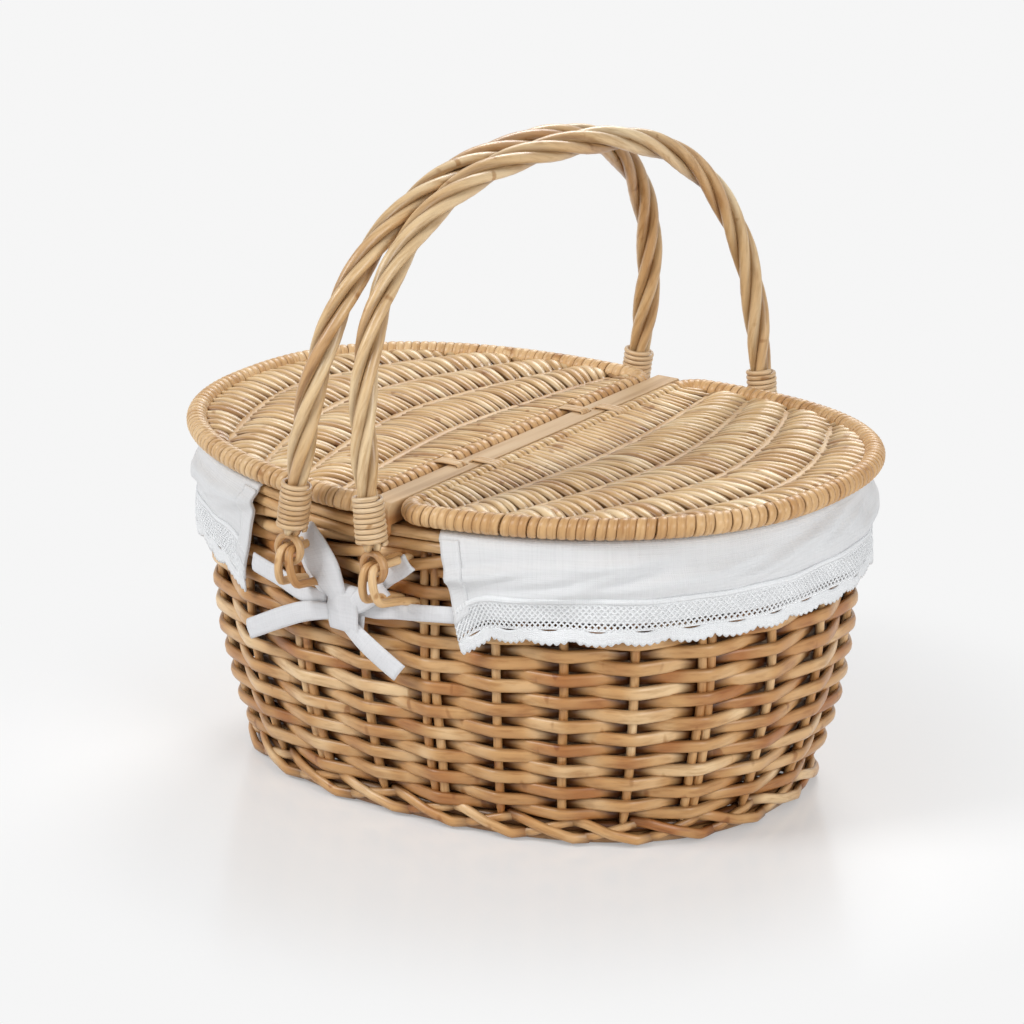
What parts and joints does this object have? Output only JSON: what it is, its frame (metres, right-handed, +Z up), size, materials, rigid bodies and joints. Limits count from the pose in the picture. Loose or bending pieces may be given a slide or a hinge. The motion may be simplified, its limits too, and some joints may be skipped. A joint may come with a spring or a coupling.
{
  "type": "picnic basket",
  "caption": "Oval willow picnic basket with hinged half lids, folding arch handles, a cotton lining turned out over the rim, lace edging and ribbon bows.",
  "frame": {"origin": "middle of the basket's footprint, on the ground it stands on", "axes": "+X along the basket's length towards the right lid, +Y across it towards the back, +Z up"},
  "size_m": [0.391, 0.3326, 0.3474],
  "materials": {
    "willow": "satin",
    "dark_willow": "satin",
    "pale_willow": "satin",
    "bare_wood": "matte",
    "cotton": "matte",
    "lace": "matte"
  },
  "bodies": {
    "basket": {"base_stick_1": "willow", "base_stick_2": "willow", "base_stick_3": "willow", "base_stick_4": "willow", "base_stick_5": "willow", "base_weave": "dark_willow", "bow_back": "cotton", "bow_front": "cotton", "bridge_slat": "bare_wood", "cuff_left": "cotton", "cuff_right": "cotton", "foot_wale": "dark_willow", "hinge_loop_left_back": "pale_willow", "hinge_loop_left_front": "pale_willow", "hinge_loop_right_back": "pale_willow", "hinge_loop_right_front": "pale_willow", "lace_left": "lace", "lace_right": "lace", "liner_bag": "cotton", "rim_border": "dark_willow", "side_loop_left_back": "willow", "side_loop_left_front": "willow", "side_loop_right_back": "willow", "side_loop_right_front": "willow", "side_weave": "willow", "upper_wale": "willow"},
    "lid_left": {"lid_left_edge": "willow", "lid_left_weave": "pale_willow", "lid_left_stick_1": "willow", "lid_left_stick_2": "willow", "lid_left_stick_3": "willow", "lid_left_stick_4": "willow"},
    "lid_right": {"lid_right_edge": "willow", "lid_right_weave": "pale_willow", "lid_right_stick_1": "willow", "lid_right_stick_2": "willow", "lid_right_stick_3": "willow", "lid_right_stick_4": "willow"},
    "handle_left": {"handle_left": "pale_willow", "binding_left_front": "pale_willow", "binding_left_back": "pale_willow"},
    "handle_right": {"handle_right": "pale_willow", "binding_right_front": "pale_willow", "binding_right_back": "pale_willow"}
  },
  "joints": [
    {"name": "lid_left_hinge", "type": "hinge", "parent": "basket", "child": "lid_left", "pos_m": [-0.0135, 0, 0.17753], "axis": [0, 1, 0], "range_deg": [0, 78]},
    {"name": "lid_right_hinge", "type": "hinge", "parent": "basket", "child": "lid_right", "pos_m": [0.0135, 0, 0.17753], "axis": [0, -1, 0], "range_deg": [0, 78]},
    {"name": "handle_left_swing", "type": "hinge", "parent": "basket", "child": "handle_left", "pos_m": [-0.041, 0, 0.152], "axis": [-0.0318, -0.9995, 0], "range_deg": [0, 121]},
    {"name": "handle_right_swing", "type": "hinge", "parent": "basket", "child": "handle_right", "pos_m": [0.031, 0, 0.152], "axis": [0.1449, 0.9894, 0], "range_deg": [0, 118]}
  ]
}
